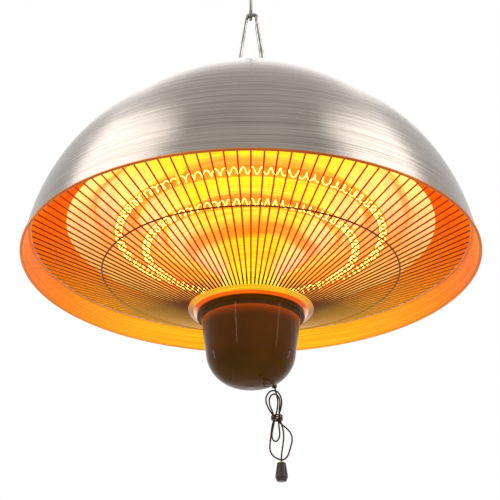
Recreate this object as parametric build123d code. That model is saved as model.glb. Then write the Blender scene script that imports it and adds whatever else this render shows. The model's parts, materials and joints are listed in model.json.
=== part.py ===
from build123d import *
import math
import os

# Hanging patio heater: a spun metal shade with two ring-shaped heating tubes,
# a wire guard, a switch cup with a pull cord, and the snap hook and ceiling
# hook that it hangs on. Millimetres, +Z up, front towards -Y.
# Heights are measured from the rim plane of the shade. The finished parts are
# then lowered so that the ceiling face, where the hook's stud starts, is z = 0.

# Clearances
RUNNING_GAP = 0.05
MOVING_GAP = 0.3
WELD_GAP = 0.05
HOLE_GAP = 0.3

# Shade: a spun shell, part of a sphere, with a flat crown and a rolled rim
SHADE_R = 300.5
SHADE_CENTRE_DROP = 22.3
SHADE_WALL = 1.0
RIM_BEAD_R = 1.8
RIM_BEAD_OUT = 0.9
CROWN_R = 46.0

# Stem: the hollow tie rod on the axis, and what it clamps
STEM_R = 7.0
STEM_BORE_R = 5.0
STEM_END = 4.0
STEM_LEAD_HOLE_R = 3.2
SPACER_R = 12.0
WASHER_R = 15.0
WASHER_T = 2.0
NUT_ACROSS_FLATS = 22.0
NUT_T = 10.0

# Cap over the crown, with its cable gland
CAP_R = 44.0
CAP_H = 31.0
CAP_WALL = 1.0
CAP_EDGE_H = 18.0
CAP_TOP_R = 30.0
CAP_FILLET = 6.0
GLAND_H = 9.5
GLAND_R = 6.0
GLAND_BORE_R = 4.0
GLAND_SPOUT = 12.0
GLAND_SHANK = 8.5
GLAND_FLANGE_R = 8.1
GLAND_FLANGE_T = 3.0
GLAND_LIP = 1.0
GLAND_NUT_AF = 15.0
GLAND_NUT_T = 4.0

# Terminal block and the grommet under it
BLOCK_X = 36.0
BLOCK_Y = 14.0
BLOCK_H = 13.0
BLOCK_FOOT_H = 8.0
BLOCK_FOOT_X = 5.0
GROMMET_Y = 26.0
GROMMET_R = 8.0
GROMMET_FLANGE = 1.4
GROMMET_FLANGE_T = 1.5
TERMINAL_SCREW_R = 2.6
TERMINAL_SCREW_T = 1.2
TERMINAL_PITCH = 8.0
TERMINAL_COUNT = 4

# Eye nut
EYE_BOSS_R = 12.0
EYE_BOSS_H = 14.0
EYE_BORE_DEPTH = 11.0
EYE_RING_R = 14.0
EYE_WIRE_R = 4.0
EYE_SINK = 5.0

# Snap hook: one bent wire in the XZ plane, its gate on the +X side
SNAP_WIRE_R = 3.0
SNAP_LENGTH = 120.0
SNAP_FOOT_HALF = 20.3
SNAP_FOOT_FILLET = 14.0
SNAP_SPINE_X = 8.9
SNAP_SPINE_DROP = 21.3
SNAP_SPINE_FILLET = 14.0
SNAP_SHOULDER_X = 5.3
SNAP_NOSE_X = 9.7
SNAP_NOSE_FILLET = 5.5
SNAP_NOSE_DROP = 20.8
GATE_R = 3.8
GATE_PIN_X = 17.7
GATE_PIN_RISE = 27.3
GATE_PIN_R = 1.2
GATE_PIN_LENGTH = 7.0
GATE_TAIL = 5.0
GATE_LENGTH = 64.6
TONGUE_T = 3.2
TONGUE_GAP = 0.2
NOSE_TONGUE_LENGTH = 5.0
NOSE_TONGUE_IN = 0.5
NOSE_TONGUE_OUT = 2.5
GATE_SLOT_DEPTH = 7.0
GATE_STOP_R = 0.8
GATE_FOOT_SLOT = 5.0
GATE_BORE_R = 1.9
GATE_BORE_TOP = 36.0
GATE_PUSHER_R = 1.7
GATE_PUSHER_LENGTH = 9.0
GATE_SPRING_WIRE_R = 0.3
GATE_SPRING_R = 1.4
GATE_SPRING_TURNS = 9

# Ceiling hook: a round rod with a collar and a stud, bent in the YZ plane
HOOK_WIRE_R = 2.9
HOOK_BEND_R = 9.5
HOOK_LENGTH = 73.0
HOOK_TIP = 12.0
HOOK_SHOULDER_LOW = 31.0
HOOK_SHOULDER_HIGH = 14.0
HOOK_SHOULDER_FILLET = 8.0
COLLAR_R = 9.0
COLLAR_T = 3.0
STUD_R = 3.0
STUD_LENGTH = 25.0

# Reflector: gull-wing section, flat at the centre
REFLECTOR_WALL = 0.8
REFLECTOR_RISE_R = 171.0
REFLECTOR_TOP_R = 215.0
REFLECTOR_TOP_Z = 80.0
REFLECTOR_EDGE_R = 248.0
REFLECTOR_EDGE_Z = 53.4
REFLECTOR_FILLET = 14.0

# Heating tubes: two glass rings, each with its wound filament and two ceramic caps
TUBE_R = 7.0
TUBE_WALL = 1.2
OUTER_RING_R = 179.5
OUTER_RING_Z = 50.4
OUTER_TURNS = 54
INNER_RING_R = 141.4
INNER_RING_Z = 29.3
INNER_TURNS = 44
RING_GAP = 64.0
BACK_AZIMUTH = 90.0
FILAMENT_R = 4.4
FILAMENT_WIRE_R = 0.6
FILAMENT_SETBACK = 1.4
END_CAP_R = 9.0
END_CAP_COVER = 12.0
END_CAP_END = 6.0
LEAD_R = 1.3
LEAD_RISE = 12.0
LEAD_RUNS = 7
CLIP_WIDTH = 6.0
CLIP_WALL = 0.8
CLIP_OPENING = 130.0
CLIP_POST_T = 1.6
CLIP_POST_SPARE = 20.0
CLIP_AZIMUTHS = (15.0, 165.0, 242.0)

# Guard: radial wires on a cone, three rings
WIRE_COUNT = 112
WIRE_R = 1.0
GUARD_EDGE_GAP = 1.35
GUARD_RING_Z = 30.8
GUARD_RING_WIRE_R = 1.5
MID_RING_R = 197.3
MID_RING_WIRE_R = 1.0
WIRE_START_R = 77.5

# Hub plate, which carries the wires' inner ends, the neck and the cup
HUB_EDGE_R = 82.5
HUB_KNEE_R = 75.3
HUB_KNEE_Z = -55.2
HUB_FLAT_R = 71.5
HUB_FLAT_Z = -60.0
HUB_WALL = 1.2
NECK_R = 38.0
NECK_WALL = 1.0
CUP_SKIRT_R = 60.3
CUP_SKIRT_FLANGE = 5.0
CUP_SKIRT_WALL = 1.2
CUP_SKIRT_H = 18.0
CUP_SCREW_R = 1.5
CUP_SCREW_HEAD_R = 2.8
CUP_SCREW_HEAD_T = 1.4
CUP_SCREW_LENGTH = 7.0
CUP_SCREW_DROP = 13.0
CUP_SCREW_AZIMUTHS = (40.0, 140.0)

# Cup
COLLAR_CUP_R = 70.7
COLLAR_CUP_H = 5.5
CUP_R = 65.2
CUP_CORNER_R = 52.2
CUP_CORNER_DROP = 91.8
CUP_DEPTH = 98.0
CUP_FILLET = 46.0
CUP_COLLAR_FILLET = 1.5
CUP_WALL = 2.2

# Pull cord: where it leaves the cup, and its size
CORD_R = 1.0
CORD_X = 30.0
CORD_Y = 22.0
CORD_TOP_Z = -135.5
BUSH_R = 3.4
BUSH_BORE_R = 2.0
BUSH_TOP_Z = -144.0
BUSH_BOTTOM_Z = -151.5

# Switch in the cup: housing, lid, plunger, spring, cam and contacts
SWITCH_IN = 20.0
SWITCH_OUT = 48.0
SWITCH_HALF_Y = 12.0
SWITCH_TOP = -78.0
SWITCH_BOTTOM = -108.0
SWITCH_WALL = 2.0
PLUNGER_R = 2.2
PLUNGER_HEAD_R = 4.2
PLUNGER_HEAD_T = 2.0
PLUNGER_HEAD_TOP = -90.0
PLUNGER_TRAVEL = 8.0
SPRING_R = 3.2
SPRING_WIRE_R = 0.3
SPRING_TURNS = 5
CAM_X = 28.0
CAM_Z = -92.0
CAM_R = 4.6
CAM_WIDTH = 8.0
CAM_NOTCH_COUNT = 8
CAM_NOTCH_R = 0.9
CAM_PIN_R = 1.2
CONTACT_X = 14.0
CONTACT_Y = 4.0
CONTACT_T = 0.5
CONTACT_DROP = 3.5
CONTACT_SIDE = 4.0
BRACKET_T = 1.5
BRACKET_FLANGE = 14.0
BRACKET_DROP = 30.0
SWITCH_LEAD_R = 0.8
SWITCH_LEAD_SIDE = 1.6

# Pull knob: fluted bell with a ferrule
KNOB_TOP_R = 5.3
KNOB_R = 8.0
KNOB_FOOT_R = 5.6
KNOB_H = 23.0
KNOB_WAIST_H = 5.6
KNOB_FLUTE_COUNT = 14
KNOB_FLUTE_R = 0.8
FERRULE_R = 2.6
FERRULE_T = 1.2

# Derived heights
crown_top = math.sqrt(SHADE_R**2 - CROWN_R**2) - SHADE_CENTRE_DROP
crown_low = crown_top - SHADE_WALL
cap_top = crown_top + CAP_H
washer_top = crown_top + WASHER_T
nut_top = washer_top + NUT_T
eye_boss_top = cap_top + EYE_BOSS_H
eye_z = eye_boss_top + EYE_RING_R + EYE_WIRE_R - EYE_SINK
snap_foot_z = eye_z + EYE_RING_R - EYE_WIRE_R - MOVING_GAP - SNAP_WIRE_R
snap_top_z = snap_foot_z + SNAP_LENGTH - 2 * SNAP_WIRE_R
hook_reach = SNAP_WIRE_R + MOVING_GAP + HOOK_WIRE_R
hook_z = snap_top_z - hook_reach
ceiling_z = hook_z + HOOK_LENGTH
hub_top = HUB_FLAT_Z + HUB_WALL
guard_ring_r = math.sqrt((SHADE_R - SHADE_WALL) ** 2 - (GUARD_RING_Z + SHADE_CENTRE_DROP) ** 2)
guard_ring_r -= GUARD_RING_WIRE_R + GUARD_EDGE_GAP
guard_slope = (GUARD_RING_Z - HUB_KNEE_Z) / (guard_ring_r - HUB_KNEE_R)
guard_stretch = math.hypot(1, guard_slope)
wire_lift = (WIRE_R + WELD_GAP) * guard_stretch
band_drop = HUB_WALL * guard_stretch
cord_angle = math.degrees(math.atan2(CORD_Y, CORD_X))
cord_reach = math.hypot(CORD_X, CORD_Y)
gate_lean = math.degrees(math.atan2(GATE_PIN_X - SNAP_NOSE_X, SNAP_LENGTH - 2 * SNAP_WIRE_R
                                    - SNAP_NOSE_DROP - GATE_PIN_RISE))

# The cord's route: out of the bush, down through the waist, round the large
# lower loop, up and over the outer upper loop, down round the narrow lower
# loop, up over the inner upper loop, and down to the knob
CORD_ROUTE = [
    (CORD_X, CORD_Y, CORD_TOP_Z),
    (CORD_X, CORD_Y, -150),
    (33.8, 22, -164.2),
    (34.4, 22, -172),
    (33.5, 22, -180),
    (31, 22.2, -189),
    (27, 22.2, -199),
    (25.4, 22.4, -211),
    (24, 22.6, -222),
    (23.2, 23, -231),
    (26.6, 23.4, -238.5),
    (34, 23.8, -243),
    (41, 24.2, -243.8),
    (46.4, 24.4, -238),
    (49, 24.6, -229),
    (52.3, 24.8, -218),
    (50, 24.9, -208.5),
    (42.5, 24.9, -201.5),
    (34.5, 24.8, -195),
    (27.5, 24.8, -186),
    (22, 24.8, -177.5),
    (18.6, 24.8, -168),
    (20.4, 24.9, -159.5),
    (26, 25, -154.2),
    (33, 25, -154.6),
    (37.9, 24.8, -160.5),
    (39.6, 24.4, -169),
    (38.2, 22.8, -178.5),
    (34.9, 20.8, -189),
    (34.8, 19.4, -200),
    (36.1, 19.4, -210),
    (35.6, 19.4, -217),
    (32.4, 19.4, -221.8),
    (28.2, 19.4, -221.2),
    (25.9, 19.3, -216),
    (26.8, 19.2, -208.5),
    (28.6, 19.1, -201),
    (29.9, 18.5, -193),
    (27.2, 17.7, -184),
    (23.4, 17.9, -175),
    (23.2, 18.2, -167),
    (26.6, 18.4, -161.3),
    (32, 18.2, -161),
    (36, 17.7, -165.8),
    (37, 17.1, -173),
    (35.7, 16.7, -182),
    (35.2, 16.6, -191),
    (38.6, 16.8, -201),
    (41.2, 17.3, -212),
    (40.3, 18, -223),
    (38.6, 18.6, -233),
    (37.5, 19.2, -241),
    (37.5, 19.2, -248),
]
# The tie: a short end of the same cord, two turns round the hank's waist
TIE_X = 32.75
TIE_Y = 20.25
TIE_Z = -191.5
TIE_HALF_X = 6.5
TIE_HALF_Y = 7.4
TIE_TURNS = 2
TIE_PITCH = 2.6


def shell_radius(height, inset):
    """Radius of the shade's sphere at a height, measured inset below its outside."""
    return math.sqrt((SHADE_R - inset) ** 2 - (height + SHADE_CENTRE_DROP) ** 2)


def cone_height(radius):
    """Height of the guard's cone, the wires' centre line, at a radius."""
    return HUB_KNEE_Z + (radius - HUB_KNEE_R) * guard_slope + wire_lift


def turned(profile, arc=360.0):
    """A profile drawn as (radius, height) and turned about the heater's axis."""
    return revolve(Plane.XZ * profile, Axis.Z, arc)


def sheet(points, wall, fillet, side=Side.LEFT):
    """A turned sheet-metal piece: a filleted line of (radius, height) and its wall."""
    line = FilletPolyline(*points, radius=fillet)
    return turned(make_face(offset(line, wall, side=side, closed=True)))


def around(piece, count):
    """Copies of a piece, evenly spaced about the axis."""
    return Compound(children=[Rot(0, 0, 360 * i / count) * piece for i in range(count)])


def disc(radius, low, high, bore=0.0):
    """A round plate or tube on the axis, from one height to another."""
    body = Pos(0, 0, (low + high) / 2) * Cylinder(radius, high - low)
    if bore > 0:
        body -= Pos(0, 0, (low + high) / 2) * Cylinder(bore, high - low)
    return body


def block(x_low, x_high, y_low, y_high, z_low, z_high):
    """A box given by its two corners."""
    centre = ((x_low + x_high) / 2, (y_low + y_high) / 2, (z_low + z_high) / 2)
    return Pos(*centre) * Box(x_high - x_low, y_high - y_low, z_high - z_low)


def hex_nut(across_flats, bore, low, high):
    """A hexagon nut on the axis."""
    face = RegularPolygon(across_flats / math.sqrt(3), 6) - Circle(bore)
    return Pos(0, 0, low) * extrude(face, high - low)


def biarc(start, start_way, end, end_way):
    """Two tangent arcs from one point to the next, along the two directions."""
    gap = end - start
    both = start_way + end_way
    square = 2 * (1 - start_way.dot(end_way))
    middle = 2 * gap.dot(both)
    reach = (-middle + math.sqrt(middle**2 + 4 * square * gap.dot(gap))) / (2 * square)
    near = start + start_way * reach
    far = end - end_way * reach
    join = (near + far) * 0.5
    return [TangentArc(start, join, tangent=start_way), TangentArc(join, end, tangent=far - near)]


def wound_tube(point, turns, wire_r):
    """A tube wound along point(u), u from 0 to 1, four biarcs a turn, straight at both ends."""
    count = 4 * turns
    nudge = 0.0001 / turns
    places = [Vector(*point(i / count)) for i in range(count + 1)]
    ways = []
    for i in range(count + 1):
        ahead = Vector(*point(i / count + nudge))
        behind = Vector(*point(i / count - nudge))
        ways.append((ahead - behind).normalized())
    lead_in = places[0] - ways[0] * 2 * wire_r
    lead_out = places[-1] + ways[-1] * 2 * wire_r
    edges = [Line(lead_in, places[0])]
    for i in range(count):
        edges += biarc(places[i], ways[i], places[i + 1], ways[i + 1])
    edges.append(Line(places[-1], lead_out))
    section = Plane(origin=lead_in, z_dir=ways[0]) * Circle(wire_r)
    return sweep(section, path=Wire(edges))


def least_gap(point, turns, wire_r):
    """The least gap between neighbouring turns, measured on points along the winding."""
    steps = 24
    places = [Vector(*point(i / (turns * steps))) for i in range(turns * steps + 1)]
    nearest = 1e9
    for i, here in enumerate(places):
        for there in places[i + steps // 2 : i + 2 * steps]:
            nearest = min(nearest, (here - there).length)
    return nearest - 2 * wire_r


def bend_radii(points):
    """Corner radii of a cord's route: 0.45 of the shorter run over the tangent of half the turn."""
    radii = []
    for before, here, after in zip(points, points[1:], points[2:]):
        arriving = Vector(*here) - Vector(*before)
        leaving = Vector(*after) - Vector(*here)
        run = min(arriving.length, leaving.length)
        radii.append(0.45 * run / math.tan(math.radians(arriving.get_angle(leaving)) / 2))
    return radii


def cord_tube(points, radius, name):
    """A cord along a route, its corners rounded as widely as the runs allow."""
    radii = bend_radii(points)
    path = FilletPolyline(*points, radius=radii)
    first = Vector(*points[1]) - Vector(*points[0])
    tube = sweep(Plane(origin=points[0], z_dir=first) * Circle(radius), path=path)
    exact = math.pi * radius**2 * path.length
    print(name, "length", round(path.length, 1), "tightest bend", round(min(radii), 1),
          "volume over section times length", round(tube.volume / exact, 4))
    return tube


def dome_shade():
    """Spun shell with a flat crown, a rolled rim, and holes for the stem and the grommet."""
    inner_r = SHADE_R - SHADE_WALL
    rim_out = shell_radius(0, 0)
    rim_in = shell_radius(0, SHADE_WALL)
    low_crown_r = shell_radius(crown_low, SHADE_WALL)
    out_mid = (SHADE_R * math.cos(math.pi / 4), SHADE_R * math.sin(math.pi / 4) - SHADE_CENTRE_DROP)
    in_mid = (inner_r * math.cos(math.pi / 4), inner_r * math.sin(math.pi / 4) - SHADE_CENTRE_DROP)
    stem_hole = STEM_R + HOLE_GAP
    wall = make_face([
        ThreePointArc((rim_out, 0), out_mid, (CROWN_R, crown_top)),
        Line((CROWN_R, crown_top), (stem_hole, crown_top)),
        Line((stem_hole, crown_top), (stem_hole, crown_low)),
        Line((stem_hole, crown_low), (low_crown_r, crown_low)),
        ThreePointArc((low_crown_r, crown_low), in_mid, (rim_in, 0)),
        Line((rim_in, 0), (rim_out, 0)),
    ])
    bead = Pos(rim_out + RIM_BEAD_OUT, 0) * Circle(RIM_BEAD_R)
    shell = turned(wall + bead)
    grommet_hole = Pos(0, GROMMET_Y, 0) * disc(GROMMET_R, crown_low - 1, crown_top + 1)
    return shell - grommet_hole


def stem_tube():
    """Hollow tie rod from under the hub plate to the eye nut, with its lead hole."""
    low = HUB_FLAT_Z - WASHER_T - NUT_T - STEM_END
    high = cap_top + EYE_BORE_DEPTH - HOLE_GAP
    tube = disc(STEM_R, low, high, STEM_BORE_R)
    hole = Pos(0, STEM_R, lead_exit_z) * Rot(90, 0, 0) * Cylinder(STEM_LEAD_HOLE_R, 2 * STEM_R)
    return tube - hole


lead_exit_z = nut_top + STEM_LEAD_HOLE_R + 1.5


def spacer_tube():
    """Tube that sets the reflector's distance below the crown."""
    return disc(SPACER_R, REFLECTOR_WALL, crown_low, STEM_R + HOLE_GAP)


def crown_washer():
    return disc(WASHER_R, crown_top, washer_top, STEM_R + RUNNING_GAP)


def crown_nut():
    return hex_nut(NUT_ACROSS_FLATS, STEM_R + RUNNING_GAP, washer_top, nut_top)


def hub_washer():
    return disc(WASHER_R, HUB_FLAT_Z - WASHER_T, HUB_FLAT_Z, STEM_R + RUNNING_GAP)


def hub_nut():
    low = HUB_FLAT_Z - WASHER_T - NUT_T
    return hex_nut(NUT_ACROSS_FLATS, STEM_R + RUNNING_GAP, low, low + NUT_T)


def top_cap():
    """Spun cover over the terminal block, with the gland's hole at the back."""
    points = [(CAP_R, crown_top), (CAP_R, crown_top + CAP_EDGE_H), (CAP_TOP_R, cap_top),
              (STEM_R + HOLE_GAP, cap_top)]
    shell = sheet(points, CAP_WALL, CAP_FILLET)
    hole = Pos(0, CAP_R, crown_top + GLAND_H) * Rot(90, 0, 0) * Cylinder(GLAND_R, 4 * CAP_WALL)
    return shell - hole


def cable_gland():
    """Gland through the cap's back wall: threaded shank, flange and tapered spout."""
    spout_mid = GLAND_FLANGE_T + GLAND_SPOUT / 2
    body = disc(GLAND_FLANGE_R, 0, GLAND_FLANGE_T)
    body += Pos(0, 0, spout_mid) * Cone(GLAND_R, GLAND_BORE_R + GLAND_LIP, GLAND_SPOUT)
    body += disc(GLAND_R, -GLAND_SHANK, 0)
    body -= disc(GLAND_BORE_R, -2 * GLAND_SHANK, 2 * GLAND_SPOUT)
    return Pos(0, CAP_R, crown_top + GLAND_H) * Rot(-90, 0, 0) * body


def gland_nut():
    """Lock nut on the gland, inside the cap."""
    inner = math.sqrt((CAP_R - CAP_WALL) ** 2 - GLAND_NUT_AF**2 / 3)
    nut = hex_nut(GLAND_NUT_AF, GLAND_R + RUNNING_GAP, 0, GLAND_NUT_T)
    return Pos(0, inner - GLAND_NUT_T, crown_top + GLAND_H) * Rot(-90, 0, 0) * nut


def lead_offsets():
    """Places of the four heater leads across the grommet and the terminal block."""
    return [(i - 1.5) * LEAD_R * 3 for i in range(TERMINAL_COUNT)]


def crown_grommet():
    """Rubber grommet in the crown, with one hole for each heater lead."""
    body = disc(GROMMET_R, crown_low, crown_top)
    body += disc(GROMMET_R + GROMMET_FLANGE, crown_top, crown_top + GROMMET_FLANGE_T)
    body += disc(GROMMET_R + GROMMET_FLANGE, crown_low - GROMMET_FLANGE_T, crown_low)
    for x in lead_offsets():
        body -= Pos(x, 0, crown_low) * Cylinder(LEAD_R + RUNNING_GAP, 8 * GROMMET_FLANGE_T)
    return Pos(0, GROMMET_Y, 0) * body


def terminal_block():
    """Ceramic block on two feet, over the grommet."""
    low = crown_top + BLOCK_FOOT_H
    y_low = GROMMET_Y - BLOCK_Y / 2
    y_high = GROMMET_Y + BLOCK_Y / 2
    body = block(-BLOCK_X / 2, BLOCK_X / 2, y_low, y_high, low, low + BLOCK_H)
    for side in (-1, 1):
        x = side * (BLOCK_X - BLOCK_FOOT_X) / 2
        body += Pos(x, GROMMET_Y, crown_top + BLOCK_FOOT_H / 2) * Box(BLOCK_FOOT_X, BLOCK_Y, BLOCK_FOOT_H)
    return body


def terminal_screws():
    """Screw heads on top of the block, one for each lead."""
    top = crown_top + BLOCK_FOOT_H + BLOCK_H
    head = disc(TERMINAL_SCREW_R, top, top + TERMINAL_SCREW_T)
    heads = []
    for i in range(TERMINAL_COUNT):
        heads.append(Pos((i - 1.5) * TERMINAL_PITCH, GROMMET_Y, 0) * head)
    return Compound(children=heads)


def eye_nut():
    """Boss with a blind bore, and a ring in the YZ plane."""
    boss = disc(EYE_BOSS_R, cap_top, eye_boss_top)
    ring = Pos(0, 0, eye_z) * Rot(0, 90, 0) * Torus(EYE_RING_R, EYE_WIRE_R)
    bore = disc(STEM_R + RUNNING_GAP, cap_top, cap_top + EYE_BORE_DEPTH)
    return boss + ring - bore


def snap_hook_body():
    """Bent wire from the nose round the spine and foot to the gate's pin, with two tongues."""
    nose_z = snap_top_z - SNAP_NOSE_DROP
    pin_z = snap_foot_z + GATE_PIN_RISE
    lean = math.radians(gate_lean)
    tail = GATE_TAIL + 1.3
    tail_point = (GATE_PIN_X + tail * math.sin(lean), pin_z - tail * math.cos(lean))
    points = [
        (SNAP_NOSE_X, nose_z),
        (SNAP_NOSE_X, snap_top_z),
        (-SNAP_SHOULDER_X, snap_top_z),
        (-SNAP_SPINE_X, snap_top_z - SNAP_SPINE_DROP),
        (-SNAP_FOOT_HALF, snap_foot_z),
        (SNAP_FOOT_HALF, snap_foot_z),
        tail_point,
    ]
    radii = [SNAP_NOSE_FILLET, hook_reach, SNAP_SPINE_FILLET, SNAP_FOOT_FILLET, SNAP_FOOT_FILLET]
    path = Plane.XZ * FilletPolyline(*points, radius=radii)
    wire = sweep(Plane(origin=(SNAP_NOSE_X, 0, nose_z), z_dir=(0, 0, 1)) * Circle(SNAP_WIRE_R), path=path)
    nose = block(SNAP_NOSE_X - NOSE_TONGUE_IN, SNAP_NOSE_X + NOSE_TONGUE_OUT,
                 -TONGUE_T / 2, TONGUE_T / 2, nose_z - NOSE_TONGUE_LENGTH, nose_z + 1)
    foot = block(-SNAP_WIRE_R, SNAP_WIRE_R, -TONGUE_T / 2, TONGUE_T / 2, -tail - 1, 0)
    foot += Rot(90, 0, 0) * Cylinder(SNAP_WIRE_R, TONGUE_T)
    foot -= Rot(90, 0, 0) * Cylinder(GATE_PIN_R, 2 * TONGUE_T)
    return wire + nose + gate_place() * foot


def gate_place():
    """Where the gate stands: its pin, and its lean towards the nose."""
    return Pos(GATE_PIN_X, 0, snap_foot_z + GATE_PIN_RISE) * Rot(0, -gate_lean, 0)


def snap_hook_gate():
    """Tube with a slot at each end, drawn along its own length from the pin."""
    slot_half = TONGUE_T / 2 + TONGUE_GAP
    tube = disc(GATE_R, -GATE_TAIL, GATE_LENGTH)
    tube -= block(-2 * GATE_R, 2 * GATE_R, -slot_half, slot_half, -2 * GATE_TAIL, GATE_FOOT_SLOT)
    tube -= block(-2 * GATE_R, 2 * GATE_R, -slot_half, slot_half,
                  GATE_LENGTH - GATE_SLOT_DEPTH, GATE_LENGTH + 1)
    tube -= Rot(90, 0, 0) * Cylinder(GATE_PIN_R + RUNNING_GAP, 4 * GATE_R)
    tube -= disc(GATE_BORE_R, GATE_FOOT_SLOT - 1, GATE_BORE_TOP)
    tube -= stop_pin_place() * Cylinder(GATE_STOP_R, 4 * GATE_R)
    return gate_place() * tube


def stop_pin_place():
    """The stop pin across the gate's upper slot, just inside the nose's tongue."""
    lean = math.sin(math.radians(gate_lean)) * NOSE_TONGUE_LENGTH
    inward = NOSE_TONGUE_IN + GATE_STOP_R + MOVING_GAP + lean
    return Pos(-inward, 0, GATE_LENGTH - GATE_SLOT_DEPTH / 2) * Rot(90, 0, 0)


def gate_stop_pin():
    half = math.sqrt(GATE_R**2 - (NOSE_TONGUE_IN + 2 * GATE_STOP_R + 1) ** 2)
    return gate_place() * stop_pin_place() * Cylinder(GATE_STOP_R, 2 * half)


def gate_pin():
    return gate_place() * Rot(90, 0, 0) * Cylinder(GATE_PIN_R, GATE_PIN_LENGTH)


def gate_pusher():
    """Plunger in the gate's bore, which presses on the rounded foot tongue."""
    low = SNAP_WIRE_R + MOVING_GAP
    return gate_place() * disc(GATE_PUSHER_R, low, low + GATE_PUSHER_LENGTH)


def gate_spring_point(share):
    """A point on the gate spring's centre line, in the gate's own frame."""
    low = SNAP_WIRE_R + MOVING_GAP + GATE_PUSHER_LENGTH + MOVING_GAP + GATE_SPRING_WIRE_R
    high = GATE_BORE_TOP - MOVING_GAP - GATE_SPRING_WIRE_R
    angle = 2 * math.pi * GATE_SPRING_TURNS * share
    return (GATE_SPRING_R * math.cos(angle), GATE_SPRING_R * math.sin(angle), low + (high - low) * share)


def gate_spring():
    return gate_place() * wound_tube(gate_spring_point, GATE_SPRING_TURNS, GATE_SPRING_WIRE_R)


def ceiling_hook():
    """Stud, collar and rod, stepped forward so that the load hangs under the stud."""
    bend_z = hook_z + HOOK_BEND_R
    shank = Plane.YZ * FilletPolyline(
        (0, ceiling_z - COLLAR_T),
        (0, ceiling_z - HOOK_SHOULDER_HIGH),
        (-HOOK_BEND_R, ceiling_z - HOOK_SHOULDER_LOW),
        (-HOOK_BEND_R, bend_z),
        radius=HOOK_SHOULDER_FILLET,
    )
    bend = Plane.YZ * ThreePointArc((-HOOK_BEND_R, bend_z), (0, hook_z), (HOOK_BEND_R, bend_z))
    tip = Plane.YZ * Line((HOOK_BEND_R, bend_z), (HOOK_BEND_R, bend_z + HOOK_TIP))
    path = Wire([*shank.edges(), *bend.edges(), *tip.edges()])
    start = Plane(origin=(0, 0, ceiling_z - COLLAR_T), z_dir=(0, 0, -1))
    rod = sweep(start * Circle(HOOK_WIRE_R), path=path)
    collar = disc(COLLAR_R, ceiling_z - COLLAR_T, ceiling_z)
    stud = disc(STUD_R, ceiling_z, ceiling_z + STUD_LENGTH)
    end = Pos(0, HOOK_BEND_R, bend_z + HOOK_TIP) * Sphere(HOOK_WIRE_R)
    return rod + collar + stud + end


def reflector():
    """Pressed reflector: flat centre, rising wing, flat top and turned-down edge."""
    points = [(STEM_R + HOLE_GAP, 0), (NECK_R, 0), (REFLECTOR_RISE_R, REFLECTOR_TOP_Z),
              (REFLECTOR_TOP_R, REFLECTOR_TOP_Z), (REFLECTOR_EDGE_R, REFLECTOR_EDGE_Z)]
    dish = sheet(points, REFLECTOR_WALL, REFLECTOR_FILLET)
    for ring_r, ring_z in RINGS.values():
        for side in (-1, 1):
            x, y = lead_start(ring_r, side)
            dish -= Pos(x, y, REFLECTOR_TOP_Z / 2) * Cylinder(2 * LEAD_R, 2 * REFLECTOR_TOP_Z)
    return dish


RINGS = {"outer": (OUTER_RING_R, OUTER_RING_Z), "inner": (INNER_RING_R, INNER_RING_Z)}


def lead_start(ring_r, side):
    """Plan position where a tube's lead leaves its ceramic cap."""
    angle = math.radians(BACK_AZIMUTH) + side * (RING_GAP / 2 - END_CAP_END / 2) / ring_r
    return ring_r * math.cos(angle), ring_r * math.sin(angle)


def ring_sector(section, ring_r, ring_z, start, end):
    """A section swept about the axis between two azimuths in degrees."""
    body = turned(Pos(ring_r, ring_z) * section, end - start)
    return Rot(0, 0, start) * body


def gap_angle(ring_r, length):
    """The angle that a length along a ring takes, in degrees."""
    return math.degrees(length / ring_r)


def heating_tube(ring):
    """Glass ring, open for a short stretch at the back."""
    ring_r, ring_z = RINGS[ring]
    half = gap_angle(ring_r, RING_GAP / 2)
    section = Circle(TUBE_R) - Circle(TUBE_R - TUBE_WALL)
    return ring_sector(section, ring_r, ring_z, BACK_AZIMUTH + half, BACK_AZIMUTH + 360 - half)


def tube_caps(ring):
    """Ceramic caps over both ends of a glass ring, each with a lead hole on top."""
    ring_r, ring_z = RINGS[ring]
    half = gap_angle(ring_r, RING_GAP / 2)
    cover = gap_angle(ring_r, END_CAP_COVER)
    end = gap_angle(ring_r, END_CAP_END)
    caps = []
    for side in (-1, 1):
        low, high = sorted((BACK_AZIMUTH + side * (half - end), BACK_AZIMUTH + side * (half + cover)))
        glass_ends = (BACK_AZIMUTH + side * half, BACK_AZIMUTH + side * (half + 2 * cover))
        glass_low, glass_high = sorted(glass_ends)
        cap = ring_sector(Circle(END_CAP_R), ring_r, ring_z, low, high)
        cap -= ring_sector(Circle(TUBE_R + RUNNING_GAP), ring_r, ring_z, glass_low, glass_high)
        x, y = lead_start(ring_r, side)
        cap -= Pos(x, y, ring_z + END_CAP_R) * Cylinder(LEAD_R + RUNNING_GAP, 2 * END_CAP_R - 2 * LEAD_R)
        caps.append(cap)
    return Compound(children=caps)


def filament_point(ring, turns):
    """The wound filament's centre line: a helix about the tube's own centre line."""
    ring_r, ring_z = RINGS[ring]
    half = gap_angle(ring_r, RING_GAP / 2 + FILAMENT_SETBACK)
    start = math.radians(BACK_AZIMUTH + half)
    span = math.radians(360 - 2 * half)

    def point(share):
        azimuth = start + span * share
        turn = 2 * math.pi * turns * share
        radius = ring_r + FILAMENT_R * math.cos(turn)
        return (radius * math.cos(azimuth), radius * math.sin(azimuth), ring_z + FILAMENT_R * math.sin(turn))

    return point


def filament(ring, turns):
    point = filament_point(ring, turns)
    print(ring, "filament, least gap", round(least_gap(point, turns, FILAMENT_WIRE_R), 2))
    return wound_tube(point, turns, FILAMENT_WIRE_R)


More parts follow.
